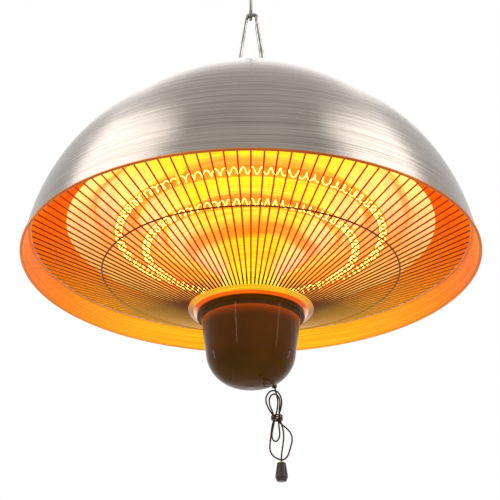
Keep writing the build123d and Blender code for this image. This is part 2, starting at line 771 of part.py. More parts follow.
def tube_clips(dish):
    """Spring clips that hold the glass rings, each on a post up to the reflector."""
    clips = []
    for ring_r, ring_z in RINGS.values():
        clip_in = TUBE_R + RUNNING_GAP
        ring = Rot(90, 0, 0) * Cylinder(clip_in + CLIP_WALL, CLIP_WIDTH)
        ring -= Rot(90, 0, 0) * Cylinder(clip_in, 2 * CLIP_WIDTH)
        mouth = 2 * clip_in * math.tan(math.radians(CLIP_OPENING / 2))
        ring -= Pos(0, 0, -2 * clip_in) * Box(mouth, 2 * CLIP_WIDTH, 2 * clip_in + 2)
        post_low = clip_in + CLIP_WALL / 2
        post = block(-CLIP_POST_T / 2, CLIP_POST_T / 2, -CLIP_WIDTH / 2, CLIP_WIDTH / 2,
                     post_low, REFLECTOR_TOP_Z + CLIP_POST_SPARE - ring_z)
        for azimuth in CLIP_AZIMUTHS:
            place = Rot(0, 0, azimuth) * Pos(ring_r, 0, ring_z)
            under = (place * post - dish).solids().sort_by(Axis.Z)[0]
            clips.append(place * ring + under)
    return Compound(children=clips)


def heater_leads():
    """Four leads from the tubes' caps up through the reflector to the terminal block."""
    block_low = crown_top + BLOCK_FOOT_H
    leave_z = REFLECTOR_TOP_Z + LEAD_RISE
    arrive_z = crown_low - LEAD_RISE
    leads = []
    starts = [("outer", 1), ("inner", 1), ("inner", -1), ("outer", -1)]
    for x_end, (ring, side) in zip(lead_offsets(), starts):
        ring_r, ring_z = RINGS[ring]
        x, y = lead_start(ring_r, side)
        points = [(x, y, ring_z + LEAD_R)]
        for i in range(LEAD_RUNS + 1):
            share = i / LEAD_RUNS
            blend = (1 - math.cos(math.pi * share)) / 2
            points.append((x + (x_end - x) * blend, y + (GROMMET_Y - y) * blend,
                           leave_z + (arrive_z - leave_z) * share))
        points.append((x_end, GROMMET_Y, block_low))
        leads.append(cord_tube(points, LEAD_R, ring + " heater lead"))
    return Compound(children=leads)


def switch_place():
    """The switch stands over the cord's hole, its length pointing away from the axis."""
    return Rot(0, 0, cord_angle)


def switch_leads():
    """Two leads from the switch up the stem's bore and out to the terminal block."""
    turn_z = CAM_Z - CAM_R
    y_end = GROMMET_Y - BLOCK_Y / 2
    leads = []
    for side in (-1, 1):
        start = (switch_place() * Pos(SWITCH_IN, side * SWITCH_LEAD_SIDE, turn_z)).position
        stem = (switch_place() * Pos(0, side * SWITCH_LEAD_SIDE, turn_z)).position
        points = [(start.X, start.Y, turn_z), (stem.X, stem.Y, turn_z),
                  (stem.X, stem.Y, lead_exit_z), (stem.X, y_end, lead_exit_z)]
        path = FilletPolyline(*points, radius=STEM_BORE_R - SWITCH_LEAD_R)
        section = Plane(origin=start, z_dir=stem - start) * Circle(SWITCH_LEAD_R)
        leads.append(sweep(section, path=path))
    return Compound(children=leads)


def guard_wires():
    """Straight radial wires from the hub plate to the outer ring."""
    end_r = guard_ring_r - GUARD_RING_WIRE_R - WIRE_R * guard_slope
    start = Vector(WIRE_START_R, 0, cone_height(WIRE_START_R))
    end = Vector(end_r, 0, cone_height(end_r))
    way = end - start
    wire = extrude(Plane(origin=start, z_dir=way) * Circle(WIRE_R), way.length)
    return around(Rot(0, 0, -90) * wire, WIRE_COUNT)


def guard_outer_ring():
    return Pos(0, 0, cone_height(guard_ring_r)) * Torus(guard_ring_r, GUARD_RING_WIRE_R)


def guard_mid_ring():
    """Thin ring welded under the wires."""
    drop = (WIRE_R + MID_RING_WIRE_R + WELD_GAP) * guard_stretch
    return Pos(0, 0, cone_height(MID_RING_R) - drop) * Torus(MID_RING_R, MID_RING_WIRE_R)


def guard_hub_plate():
    """Pressed plate: flat centre on the stem, knee, and a band under the wires' ends."""
    edge_z = HUB_KNEE_Z + (HUB_EDGE_R - HUB_KNEE_R) * guard_slope
    points = [(STEM_R + HOLE_GAP, HUB_FLAT_Z), (HUB_FLAT_R, HUB_FLAT_Z),
              (HUB_KNEE_R, HUB_KNEE_Z - band_drop), (HUB_EDGE_R, edge_z - band_drop)]
    return sheet(points, HUB_WALL, HUB_WALL)


def hub_neck():
    """Tube between the hub plate and the reflector."""
    return disc(NECK_R, hub_top, 0, NECK_R - NECK_WALL)


def cup_carrier():
    """Flanged ring under the hub plate that the cup slides over and is screwed to."""
    low = HUB_FLAT_Z - CUP_SKIRT_H
    ring = disc(CUP_SKIRT_R, low, HUB_FLAT_Z, CUP_SKIRT_R - CUP_SKIRT_WALL)
    flange = disc(CUP_SKIRT_R, HUB_FLAT_Z - CUP_SKIRT_WALL, HUB_FLAT_Z, CUP_SKIRT_R - CUP_SKIRT_FLANGE)
    return ring + flange - screw_bodies(CUP_SCREW_R)


def screw_bodies(radius):
    """Radial bodies at the cup screws' places, to cut their holes."""
    centre_r = CUP_SKIRT_R + CUP_SCREW_LENGTH / 2
    rod = Pos(centre_r, 0, HUB_FLAT_Z - CUP_SCREW_DROP) * Rot(0, 90, 0) * Cylinder(radius, 3 * CUP_SCREW_LENGTH)
    return [Rot(0, 0, azimuth) * rod for azimuth in CUP_SCREW_AZIMUTHS]


def cup_side_radius(height):
    """Outer radius of the cup's straight side at a height."""
    low = HUB_FLAT_Z - CUP_CORNER_DROP
    high = HUB_FLAT_Z - COLLAR_CUP_H
    return CUP_CORNER_R + (CUP_R - CUP_CORNER_R) * (height - low) / (high - low)


def hub_cup():
    """Deep-drawn cup with a collar and a round bottom, holed for the cord and the screws."""
    collar_low = HUB_FLAT_Z - COLLAR_CUP_H
    bottom = HUB_FLAT_Z - CUP_DEPTH
    corner_z = HUB_FLAT_Z - CUP_CORNER_DROP
    points = [(COLLAR_CUP_R, HUB_FLAT_Z), (COLLAR_CUP_R, collar_low), (CUP_R, collar_low),
              (CUP_CORNER_R, corner_z), (0, bottom)]
    radii = [CUP_COLLAR_FILLET, CUP_COLLAR_FILLET, CUP_FILLET]
    outline = FilletPolyline(*points, radius=radii)
    rim = Line((0, bottom), (0, HUB_FLAT_Z)), Line((0, HUB_FLAT_Z), points[0])
    solid = turned(make_face([*outline.edges(), *rim]))
    inside_points = [(CUP_R - CUP_WALL, HUB_FLAT_Z), (CUP_R - CUP_WALL, collar_low),
                     (CUP_CORNER_R - CUP_WALL, corner_z + CUP_WALL), (0, bottom + CUP_WALL)]
    inside = FilletPolyline(*inside_points, radius=[CUP_COLLAR_FILLET, CUP_FILLET - CUP_WALL])
    closing = (Line((0, bottom + CUP_WALL), (0, HUB_FLAT_Z)), Line((0, HUB_FLAT_Z), inside_points[0]))
    solid -= turned(make_face([*inside.edges(), *closing]))
    recess = disc(COLLAR_CUP_R - CUP_WALL, collar_low + CUP_WALL, HUB_FLAT_Z)
    cord_hole = Pos(CORD_X, CORD_Y, bottom) * Cylinder(BUSH_R, CUP_DEPTH / 2)
    return solid - recess - cord_hole - screw_bodies(CUP_SCREW_R)


def cup_screws():
    """Two small pan-head screws through the cup's side, at the back."""
    height = HUB_FLAT_Z - CUP_SCREW_DROP
    seat = cup_side_radius(height) + 0.6
    body = Rot(0, 90, 0) * Cylinder(CUP_SCREW_R, CUP_SCREW_LENGTH)
    head = Pos(CUP_SCREW_LENGTH / 2 + CUP_SCREW_HEAD_T / 2, 0, 0) * Rot(0, 90, 0) * Cylinder(
        CUP_SCREW_HEAD_R, CUP_SCREW_HEAD_T)
    screw = Pos(seat - CUP_SCREW_LENGTH / 2, 0, height) * (body + head)
    return Compound(children=[Rot(0, 0, azimuth) * screw for azimuth in CUP_SCREW_AZIMUTHS])


def cord_bush():
    """Sleeve in the cup's bottom that the cord runs through."""
    return Pos(CORD_X, CORD_Y, 0) * disc(BUSH_R, BUSH_BOTTOM_Z, BUSH_TOP_Z, BUSH_BORE_R)


def switch_housing():
    """Box open on one side, holed for the plunger and the cam's pin."""
    wall = SWITCH_WALL
    body = block(SWITCH_IN, SWITCH_OUT, -SWITCH_HALF_Y, SWITCH_HALF_Y, SWITCH_BOTTOM, SWITCH_TOP)
    body -= block(SWITCH_IN + wall, SWITCH_OUT - wall, -SWITCH_HALF_Y + wall, SWITCH_HALF_Y + 1,
                  SWITCH_BOTTOM + wall, SWITCH_TOP - wall)
    body -= Pos(cord_reach, 0, SWITCH_BOTTOM) * Cylinder(PLUNGER_R + RUNNING_GAP, 4 * wall)
    body -= Pos(CAM_X, -SWITCH_HALF_Y, CAM_Z) * Rot(90, 0, 0) * Cylinder(CAM_PIN_R, 4 * wall)
    return switch_place() * body


def switch_lid():
    wall = SWITCH_WALL
    body = block(SWITCH_IN, SWITCH_OUT, SWITCH_HALF_Y, SWITCH_HALF_Y + wall, SWITCH_BOTTOM, SWITCH_TOP)
    body -= Pos(CAM_X, SWITCH_HALF_Y, CAM_Z) * Rot(90, 0, 0) * Cylinder(CAM_PIN_R, 4 * wall)
    return switch_place() * body


def switch_bracket():
    """Angle under the hub plate that the housing is fixed to."""
    low = HUB_FLAT_Z - BRACKET_DROP
    web = block(SWITCH_IN - BRACKET_T, SWITCH_IN, -SWITCH_HALF_Y, SWITCH_HALF_Y, low, HUB_FLAT_Z)
    flange = block(SWITCH_IN, SWITCH_IN + BRACKET_FLANGE, -SWITCH_HALF_Y, SWITCH_HALF_Y,
                   HUB_FLAT_Z - BRACKET_T, HUB_FLAT_Z)
    return switch_place() * (web + flange)


def switch_plunger():
    """Rod that the cord pulls down, with a head over the spring."""
    head_low = PLUNGER_HEAD_TOP - PLUNGER_HEAD_T
    rod = disc(PLUNGER_R, CORD_TOP_Z, PLUNGER_HEAD_TOP)
    head = disc(PLUNGER_HEAD_R, head_low, PLUNGER_HEAD_TOP)
    return Pos(CORD_X, CORD_Y, 0) * (rod + head)


def spring_point(share):
    """A point on the return spring's centre line."""
    low = SWITCH_BOTTOM + SWITCH_WALL + SPRING_WIRE_R + RUNNING_GAP
    high = PLUNGER_HEAD_TOP - PLUNGER_HEAD_T - SPRING_WIRE_R - RUNNING_GAP
    angle = 2 * math.pi * SPRING_TURNS * share
    return (CORD_X + SPRING_R * math.cos(angle), CORD_Y + SPRING_R * math.sin(angle),
            low + (high - low) * share)


def switch_spring():
    return wound_tube(spring_point, SPRING_TURNS, SPRING_WIRE_R)


def switch_cam():
    """Notched cam that the plunger steps round."""
    body = Cylinder(CAM_R, CAM_WIDTH) - Cylinder(CAM_PIN_R + RUNNING_GAP, 2 * CAM_WIDTH)
    for i in range(CAM_NOTCH_COUNT):
        body -= Rot(0, 0, 360 * i / CAM_NOTCH_COUNT) * Pos(CAM_R, 0, 0) * Cylinder(CAM_NOTCH_R, 2 * CAM_WIDTH)
    return switch_place() * Pos(CAM_X, 0, CAM_Z) * Rot(90, 0, 0) * body


def cam_pin():
    low = -SWITCH_HALF_Y
    high = SWITCH_HALF_Y + SWITCH_WALL
    pin = Cylinder(CAM_PIN_R, high - low)
    return switch_place() * Pos(CAM_X, (low + high) / 2, CAM_Z) * Rot(90, 0, 0) * pin


def switch_contacts():
    """Two brass strips from the housing's inner wall over the cam."""
    high = SWITCH_TOP - SWITCH_WALL - CONTACT_DROP
    strips = []
    for side in (-1, 1):
        y = side * CONTACT_SIDE
        strip = block(SWITCH_IN + SWITCH_WALL, SWITCH_IN + SWITCH_WALL + CONTACT_X,
                      y - CONTACT_Y / 2, y + CONTACT_Y / 2, high - CONTACT_T, high)
        strips.append(switch_place() * strip)
    return Compound(children=strips)


def tie_point(share):
    """A point on the tie's two oval turns round the waist."""
    turn = 2 * math.pi * TIE_TURNS * share
    climb = TIE_PITCH * TIE_TURNS * (share - 0.5)
    return (TIE_X + TIE_HALF_X * math.cos(turn), TIE_Y + TIE_HALF_Y * math.sin(turn), TIE_Z + climb)


def cord_tie():
    return wound_tube(tie_point, TIE_TURNS, CORD_R)


def knob_place():
    return Pos(*CORD_ROUTE[-1])


def pull_knob():
    """Bell-shaped knob with flutes down its side and a rounded foot."""
    low = -KNOB_H
    points = [(0, 0), (KNOB_TOP_R, 0), (KNOB_R, low + KNOB_WAIST_H), (KNOB_FOOT_R, low), (0, low)]
    outline = FilletPolyline(*points, radius=[KNOB_TOP_R / 4, KNOB_WAIST_H / 3, KNOB_WAIST_H / 4])
    body = turned(make_face([*outline.edges(), Line((0, low), (0, 0))]))
    side = Vector(KNOB_R, 0, low + KNOB_WAIST_H) - Vector(KNOB_TOP_R, 0, 0)
    start = Vector(KNOB_TOP_R, 0, 0) - side * 0.1
    flute = extrude(Plane(origin=start, z_dir=side) * Circle(KNOB_FLUTE_R), side.length * 1.0)
    for i in range(KNOB_FLUTE_COUNT):
        body -= Rot(0, 0, 360 * i / KNOB_FLUTE_COUNT) * flute
    return knob_place() * body


def knob_ferrule():
    """Small ring on the knob, round the cord's end."""
    return knob_place() * disc(FERRULE_R, 0, FERRULE_T, CORD_R + 0.15)


def write(name, shape):
    """Hang a finished piece from the ceiling face and write it."""
    hung = Pos(0, 0, -ceiling_z) * shape
    solids = hung.solids()
    piece = solids[0] if len(solids) == 1 else Compound(children=list(solids))
    export_step(piece, f"parts/{name}.step")


def main():
    os.makedirs("parts", exist_ok=True)
    dish = reflector()
    pieces = {
        "ceiling_hook": ceiling_hook(),
        "snap_hook_body": snap_hook_body(),
        "snap_hook_gate": snap_hook_gate(),
        "gate_pin": gate_pin(),
        "gate_stop_pin": gate_stop_pin(),
        "gate_pusher": gate_pusher(),
        "gate_spring": gate_spring(),
        "eye_nut": eye_nut(),
        "top_cap": top_cap(),
        "cable_gland": cable_gland(),
        "gland_nut": gland_nut(),
        "crown_nut": crown_nut(),
        "crown_washer": crown_washer(),
        "crown_grommet": crown_grommet(),
        "terminal_block": terminal_block(),
        "terminal_screws": terminal_screws(),
        "dome_shade": dome_shade(),
        "stem_tube": stem_tube(),
        "spacer_tube": spacer_tube(),
        "reflector": dish,
        "outer_heating_tube": heating_tube("outer"),
        "inner_heating_tube": heating_tube("inner"),
        "outer_filament": filament("outer", OUTER_TURNS),
        "inner_filament": filament("inner", INNER_TURNS),
        "outer_tube_caps": tube_caps("outer"),
        "inner_tube_caps": tube_caps("inner"),
        "tube_clips": tube_clips(dish),
        "heater_leads": heater_leads(),
        "guard_wires": guard_wires(),
        "guard_outer_ring": guard_outer_ring(),
        "guard_mid_ring": guard_mid_ring(),
        "guard_hub_plate": guard_hub_plate(),
        "hub_neck": hub_neck(),
        "hub_washer": hub_washer(),
        "hub_nut": hub_nut(),
        "cup_carrier": cup_carrier(),
        "hub_cup": hub_cup(),
        "cup_screws": cup_screws(),
        "cord_bush": cord_bush(),
        "switch_bracket": switch_bracket(),
        "switch_housing": switch_housing(),
        "switch_lid": switch_lid(),
        "switch_plunger": switch_plunger(),
        "switch_spring": switch_spring(),
        "switch_cam": switch_cam(),
        "cam_pin": cam_pin(),
        "switch_contacts": switch_contacts(),
        "switch_leads": switch_leads(),
        "pull_cord": cord_tube(CORD_ROUTE, CORD_R, "pull cord"),
        "cord_tie": cord_tie(),
        "pull_knob": pull_knob(),
        "knob_ferrule": knob_ferrule(),
    }
    for name, shape in pieces.items():
        write(name, shape)
    print("pull cord bend radii", [round(r, 1) for r in bend_radii(CORD_ROUTE)])
    print("gate spring, least gap", round(least_gap(gate_spring_point, GATE_SPRING_TURNS, GATE_SPRING_WIRE_R), 2))
    print("switch spring, least gap", round(least_gap(spring_point, SPRING_TURNS, SPRING_WIRE_R), 2))
    print("tie, least gap", round(least_gap(tie_point, TIE_TURNS, CORD_R), 2))
    print("heights below the ceiling face:")
    print("  rim", -ceiling_z, "hook bend", hook_z - ceiling_z, "snap hook foot", snap_foot_z - ceiling_z)
    print("  gate pin", snap_foot_z + GATE_PIN_RISE - ceiling_z, "cam", CAM_Z - ceiling_z)


main()
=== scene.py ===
import json
import math

import bpy
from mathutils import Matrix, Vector


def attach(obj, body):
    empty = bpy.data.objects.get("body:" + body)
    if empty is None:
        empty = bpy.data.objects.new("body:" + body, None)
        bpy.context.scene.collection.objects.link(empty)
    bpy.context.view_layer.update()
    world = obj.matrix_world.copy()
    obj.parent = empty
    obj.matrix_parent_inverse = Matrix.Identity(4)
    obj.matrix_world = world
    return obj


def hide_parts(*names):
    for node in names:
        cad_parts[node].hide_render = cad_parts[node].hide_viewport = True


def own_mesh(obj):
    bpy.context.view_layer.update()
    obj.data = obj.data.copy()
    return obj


# Hanging patio heater, dressed: metres, the ceiling face is z = 0.
# Heights in the tables below are millimetres from the shade's rim plane.
MM = 0.001
RIM_DROP = 520.1583304

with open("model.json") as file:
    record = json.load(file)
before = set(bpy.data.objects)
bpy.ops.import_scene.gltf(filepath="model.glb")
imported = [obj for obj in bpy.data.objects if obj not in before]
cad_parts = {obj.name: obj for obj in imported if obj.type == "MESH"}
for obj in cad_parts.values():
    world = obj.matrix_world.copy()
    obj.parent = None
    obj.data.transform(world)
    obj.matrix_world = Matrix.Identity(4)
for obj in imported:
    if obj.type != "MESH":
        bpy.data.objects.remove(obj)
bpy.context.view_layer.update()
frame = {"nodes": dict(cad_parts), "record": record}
nodes = frame["nodes"]


def colour(code):
    """A hex colour as linear red, green, blue and alpha."""
    parts = [int(code[i : i + 2], 16) / 255 for i in (1, 3, 5)]
    linear = [c / 12.92 if c <= 0.04045 else ((c + 0.055) / 1.055) ** 2.4 for c in parts]
    return (*linear, 1.0)


def place(point):
    """A point in millimetres from the rim plane, in the row frame."""
    x, y, z = point
    return (x * MM, y * MM, (z - RIM_DROP) * MM)


# Camera: below the rim, looking up at the mouth
CAMERA_AT = (-0.36, -1036.4, -490.7)
CAMERA_PITCH = 26.94
CAMERA_YAW = 0.045
SENSOR = 36.0
LENS = 61.44


def make_camera():
    """A long lens at the photograph's viewing angle."""
    data = bpy.data.cameras.new("camera")
    data.sensor_fit = "HORIZONTAL"
    data.sensor_width = SENSOR
    data.lens = LENS
    data.clip_end = 50
    camera = bpy.data.objects.new("camera", data)
    camera.location = place(CAMERA_AT)
    camera.rotation_euler = (math.radians(90 + CAMERA_PITCH), 0, math.radians(CAMERA_YAW))
    bpy.context.scene.collection.objects.link(camera)
    bpy.context.scene.camera = camera
    bpy.context.scene.view_settings.view_transform = "Standard"


# Nodes of a material


def add(tree, kind, settings=None, links=None, **properties):
    """A node with its properties, socket settings and incoming links."""
    node = tree.nodes.new(kind)
    for key, value in properties.items():
        setattr(node, key, value)
    for key, value in (settings or {}).items():
        node.inputs[key].default_value = value
    for key, source in (links or {}).items():
        tree.links.new(source, node.inputs[key])
    return node


def start(name):
    """A new material with an empty tree."""
    made = bpy.data.materials.new(name)
    made.use_nodes = True
    made.node_tree.nodes.clear()
    return made, made.node_tree


def end(made, tree, shader):
    add(tree, "ShaderNodeOutputMaterial", links={"Surface": shader})
    return made


def maths(tree, operation, first, second):
    """One maths step; each input is a socket or a number."""
    node = tree.nodes.new("ShaderNodeMath")
    node.operation = operation
    for socket, value in zip(node.inputs, (first, second)):
        if isinstance(value, (int, float)):
            socket.default_value = value
        else:
            tree.links.new(value, socket)
    return node.outputs[0]


def spread(tree, value, low, high, from_low=0.3, from_high=0.7):
    """A pattern's value mapped to a range."""
    settings = {"From Min": from_low, "From Max": from_high, "To Min": low, "To Max": high}
    return add(tree, "ShaderNodeMapRange", settings, {"Value": value}).outputs["Result"]


def two_colours(tree, factor, first, second, low=0.3, high=0.7):
    """A blend of two colours by a pattern."""
    ramp = add(tree, "ShaderNodeValToRGB", links={"Fac": factor})
    ramp.color_ramp.elements[0].color = colour(first)
    ramp.color_ramp.elements[1].color = colour(second)
    ramp.color_ramp.elements[0].position = low
    ramp.color_ramp.elements[1].position = high
    return ramp.outputs["Color"]


def where(tree):
    """Object coordinates: metres in the row frame."""
    return add(tree, "ShaderNodeTexCoord").outputs["Object"]


def noise(tree, vector, size, detail=3.0):
    """Noise whose grains are size millimetres across."""
    settings = {"Scale": 1 / (size * MM), "Detail": detail}
    return add(tree, "ShaderNodeTexNoise", settings, {"Vector": vector}).outputs["Fac"]


def relief(tree, pattern, strength, depth):
    """Bump from a pattern, depth in millimetres."""
    settings = {"Strength": strength, "Distance": depth * MM}
    return add(tree, "ShaderNodeBump", settings, {"Height": pattern}).outputs["Normal"]


def axis_split(tree):
    """Radius from the axis, x, y and height."""
    split = add(tree, "ShaderNodeSeparateXYZ", links={"Vector": where(tree)})
    x, y, z = split.outputs
    squares = maths(tree, "ADD", maths(tree, "MULTIPLY", x, x), maths(tree, "MULTIPLY", y, y))
    return maths(tree, "SQRT", squares, 0), x, y, z


AZIMUTH_STRETCH = 1.5


def round_the_axis(tree):
    """Coordinates of a spun piece: radius, a little of the azimuth, and height."""
    radius, x, y, z = axis_split(tree)
    around = maths(tree, "MULTIPLY", maths(tree, "ARCTAN2", y, x), AZIMUTH_STRETCH * MM)
    return add(tree, "ShaderNodeCombineXYZ", links={"X": radius, "Y": around, "Z": z}).outputs["Vector"]


# Widths and depths of the marks, in millimetres; drawn coarser than the real ones, which wouldn't show
BRUSH_RELIEF = 0.05
POLISH_LINE = 1.1
POLISH_RELIEF = 0.03
BROAD_PATCH = 140.0
# Shares of the fine, finer and coarse rings and of broad patches in the brushed look
FINE_SHARE = 0.4
FINER_SHARE = 0.25
COARSE_SHARE = 0.07
BROAD_SHARE = 0.15


def spun_shader(tree, light, dark, rough, anisotropy, line, lift, glow=None, painted_glow_strength=0.0):
    """Brushed metal's shader: fine rings in its colour, gloss and relief; line is their width in mm; a glow,
    when given, is painted light in its emission.
    """
    rings = round_the_axis(tree)
    fine = noise(tree, rings, line, 2)
    finer = noise(tree, rings, line / 3, 3)
    coarse = noise(tree, rings, line * 4, 2)
    broad = noise(tree, where(tree), BROAD_PATCH, 2)
    tangent = add(tree, "ShaderNodeTangent", direction_type="RADIAL", axis="Z").outputs["Tangent"]
    bump = relief(tree, finer, 0.3, lift)
    fine_part = maths(tree, "MULTIPLY", fine, FINE_SHARE)
    finer_part = maths(tree, "MULTIPLY", finer, FINER_SHARE)
    lines = maths(tree, "ADD", fine_part, finer_part)
    lines = maths(tree, "ADD", lines, maths(tree, "MULTIPLY", coarse, COARSE_SHARE))
    both = maths(tree, "ADD", lines, maths(tree, "MULTIPLY", broad, BROAD_SHARE))
    links = {
        "Base Color": two_colours(tree, both, dark, light, 0.34, 0.54),
        "Roughness": spread(tree, both, rough * 0.8, rough * 1.2),
        "Normal": bump,
        "Tangent": tangent,
    }
    # Painted light: the glow goes into the emission, stronger along the rings
    if glow is not None:
        links["Emission Color"] = glow
        dim, bright = painted_glow_strength * 0.75, painted_glow_strength * 1.2
        links["Emission Strength"] = spread(tree, lines, dim, bright, 0.28, 0.44)
    settings = {"Metallic": 1.0, "Anisotropic": anisotropy, "Anisotropic Rotation": 0.25}
    return add(tree, "ShaderNodeBsdfPrincipled", settings, links).outputs[0]


def spun_metal(name, light, dark, rough, anisotropy, line=1.7, lift=BRUSH_RELIEF):
    """Sheet metal with the fine rings that spinning and brushing leave."""
    made, tree = start(name)
    return end(made, tree, spun_shader(tree, light, dark, rough, anisotropy, line, lift))


def painted_glow_round(tree, stops):
    """Painted glow of the tubes' light on a piece round the axis: redder at the sides, yellower at front and
    back.
    """
    radius, _, y, _ = axis_split(tree)
    share = maths(tree, "DIVIDE", maths(tree, "ABSOLUTE", y, 0), maths(tree, "MAXIMUM", radius, 0.001))
    return ramp_of(tree, share, stops)


def front_to_back(tree, stops):
    """Colours by azimuth, from the front (0) over both sides (0.5) to the back (1)."""
    radius, _, y, _ = axis_split(tree)
    share = maths(tree, "DIVIDE", y, maths(tree, "MAXIMUM", radius, 0.001))
    return ramp_of(tree, maths(tree, "ADD", maths(tree, "MULTIPLY", share, 0.5), 0.5), stops)


def blended(tree, factor, first, second, kind="MIX"):
    """Two colour sockets mixed by a number or a socket."""
    mixed = add(tree, "ShaderNodeMix", data_type="RGBA", blend_type=kind)
    if isinstance(factor, (int, float)):
        mixed.inputs[0].default_value = factor
    else:
        tree.links.new(factor, mixed.inputs[0])
    tree.links.new(first, mixed.inputs[6])
    tree.links.new(second, mixed.inputs[7])
    return mixed.outputs[2]


def ramp_of(tree, value, stops):
    """A colour ramp from (position, hex colour) pairs."""
    ramp = add(tree, "ShaderNodeValToRGB", links={"Fac": value})
    band = ramp.color_ramp
    while len(band.elements) < len(stops):
        band.elements.new(0.5)
    for element, (position, code) in zip(band.elements, stops):
        element.position = position
        element.color = colour(code)
    return ramp.outputs["Color"]


# The shade: centre and outer radius of its ball, and the width of a brush mark
SHADE_CENTRE_Z = -22.3
SHADE_R = 300.5
SHADE_LINE = 1.1
GUARD_EDGE_Z = 30.8
# Painted glow of the tubes' light inside, from the sides (0) to front and back (1): below the guard's edge
# and above it
LIP_LIGHT = [(0.0, "#F07C48"), (0.35, "#FA8A30"), (0.7, "#FFA828"), (1.0, "#FFC81E")]
WALL_LIGHT = [(0.0, "#FF4E06"), (0.35, "#FF6C08"), (0.7, "#FF9408"), (1.0, "#FFB010")]
# Painted glow on the rim's lower edge, from the front (0) to the back (1)
RIM_LIGHT = [(0.0, "#7A1E08"), (0.5, "#B8582C"), (1.0, "#E89A30")]
# Painted glow of the tubes on the reflector, from the front (0) to the back (1): the bright rings, and the
# orange between
DISH_LIGHT = [
    (0.0, "#FFF01E"), (0.1, "#FFEC28"), (0.22, "#FFEC80"), (0.36, "#FFDA8C"), (0.47, "#FFBC78"),
    (0.62, "#FFA858"), (1.0, "#FFB020"),
]
DISH_SHADE = [(0.0, "#FF8A04"), (0.1, "#FF920C"), (0.3, "#FF9530"), (0.5, "#FF8A38"), (1.0, "#FF9A08")]
# Painted rings of glow: share of the radius against brightness; white takes the painted light's colour, dark
# the orange between
DISH_PAINTED_BANDS = [
    (0.0, "#D8D8D8"), (0.27, "#FFFFFF"), (0.305, "#202020"), (0.34, "#101010"), (0.38, "#F8F8F8"),
    (0.45, "#FFFFFF"), (0.465, "#303030"), (0.485, "#404040"), (0.5, "#FFFFFF"), (0.605, "#F0F0F0"),
    (0.62, "#303030"), (0.65, "#404040"), (0.68, "#FFFFFF"), (0.82, "#F0F0F0"), (0.85, "#505050"),
    (0.9, "#FFFFFF"),
]
DISH_R = 0.25
PATCH_SIZE = 70.0


def shade_metal():
    """Spun steel, brushed round: broad soft highlights outside; inside, an orange copy with the tubes' light
    painted on as glow.
    """
    made, tree = start("spun_brushed_shade_painted_glow")
    outside = spun_shader(tree, "#A39A91", "#756C65", 0.27, 0.75, SHADE_LINE, BRUSH_RELIEF)
    height = add(tree, "ShaderNodeSeparateXYZ", links={"Vector": where(tree)}).outputs["Z"]
    # The rim's lower edge and the lip under the guard's edge get their own painted glow
    rim = maths(tree, "LESS_THAN", height, place((0, 0, 0.4))[2])
    lip = maths(tree, "LESS_THAN", height, place((0, 0, GUARD_EDGE_Z))[2])
    wall = blended(tree, lip, painted_glow_round(tree, WALL_LIGHT), painted_glow_round(tree, LIP_LIGHT))
    painted_glow_colour = blended(tree, rim, wall, front_to_back(tree, RIM_LIGHT))
    # Inside: an orange copy of the outside's steel, with painted glow in its emission
    inside = spun_shader(tree, "#A86E30", "#84501E", 0.30, 0.6, SHADE_LINE, BRUSH_RELIEF, painted_glow_colour, 0.8)
    centre = place((0, 0, SHADE_CENTRE_Z))
    offset = add(tree, "ShaderNodeVectorMath", {1: centre}, {0: where(tree)}, operation="SUBTRACT").outputs[0]
    length = add(tree, "ShaderNodeVectorMath", links={0: offset}, operation="LENGTH").outputs["Value"]
    within = maths(tree, "MAXIMUM", rim, maths(tree, "LESS_THAN", length, (SHADE_R - 0.5) * MM))
    both = add(tree, "ShaderNodeMixShader", links={"Fac": within})
    tree.links.new(outside, both.inputs[1])
    tree.links.new(inside, both.inputs[2])
    return end(made, tree, both.outputs[0])


def reflector_metal():
    """Bright rolled aluminium with a painted golden tint, and the tubes' light painted on it as glow in rings
    and patches.
    """
    made, tree = start("bright_rolled_reflector_painted_glow")
    radius, _, _, _ = axis_split(tree)
    # Painted glow: rings by radius, coloured from front to back; the golden base colours are a painted tint
    # of that light
    wander = spread(tree, noise(tree, where(tree), PATCH_SIZE, 2), -0.015, 0.015)
    share = maths(tree, "ADD", maths(tree, "DIVIDE", radius, DISH_R), wander)
    painted_glow_bands = ramp_of(tree, share, DISH_PAINTED_BANDS)
    painted_dish_glow = blended(tree, painted_glow_bands, front_to_back(tree, DISH_SHADE), front_to_back(tree, DISH_LIGHT))
    shader = spun_shader(tree, "#C89850", "#A87834", 0.2, 0.3, POLISH_LINE, POLISH_RELIEF, painted_dish_glow, 0.92)
    return end(made, tree, shader)


# The hub plate: radius of its knee, and the painted glow on both sides of it from front (0) to back (1)
HUB_KNEE_R = 75.3
HUB_KNEE_SOFT = 0.6
HUB_BAND_LIGHT = [(0.0, "#FFC81E"), (0.3, "#F0A430"), (0.5, "#8A5A2C"), (0.7, "#A87030"), (1.0, "#E8A428")]
HUB_FLANK_LIGHT = [(0.0, "#F86408"), (0.32, "#E05008"), (0.5, "#FFB890"), (0.66, "#C84008"), (1.0, "#B83000")]


def hub_metal():
    """Polished pressed steel with the tubes' light painted on as glow: a gold band under the wires' ends, an
    orange flank down to the cup.
    """
    made, tree = start("polished_hub_plate_painted_glow")
    radius, _, _, _ = axis_split(tree)
    inside, outside = (HUB_KNEE_R - HUB_KNEE_SOFT) * MM, (HUB_KNEE_R + HUB_KNEE_SOFT) * MM
    # Painted glow: the gold band outside the knee, the orange flank inside it
    outer = spread(tree, radius, 0.0, 1.0, inside, outside)
    flank = front_to_back(tree, HUB_FLANK_LIGHT)
    painted_glow_colour = blended(tree, outer, flank, front_to_back(tree, HUB_BAND_LIGHT))
    shader = spun_shader(tree, "#5C3414", "#44240C", 0.16, 0.2, POLISH_LINE, POLISH_RELIEF, painted_glow_colour, 0.95)
    return end(made, tree, shader)


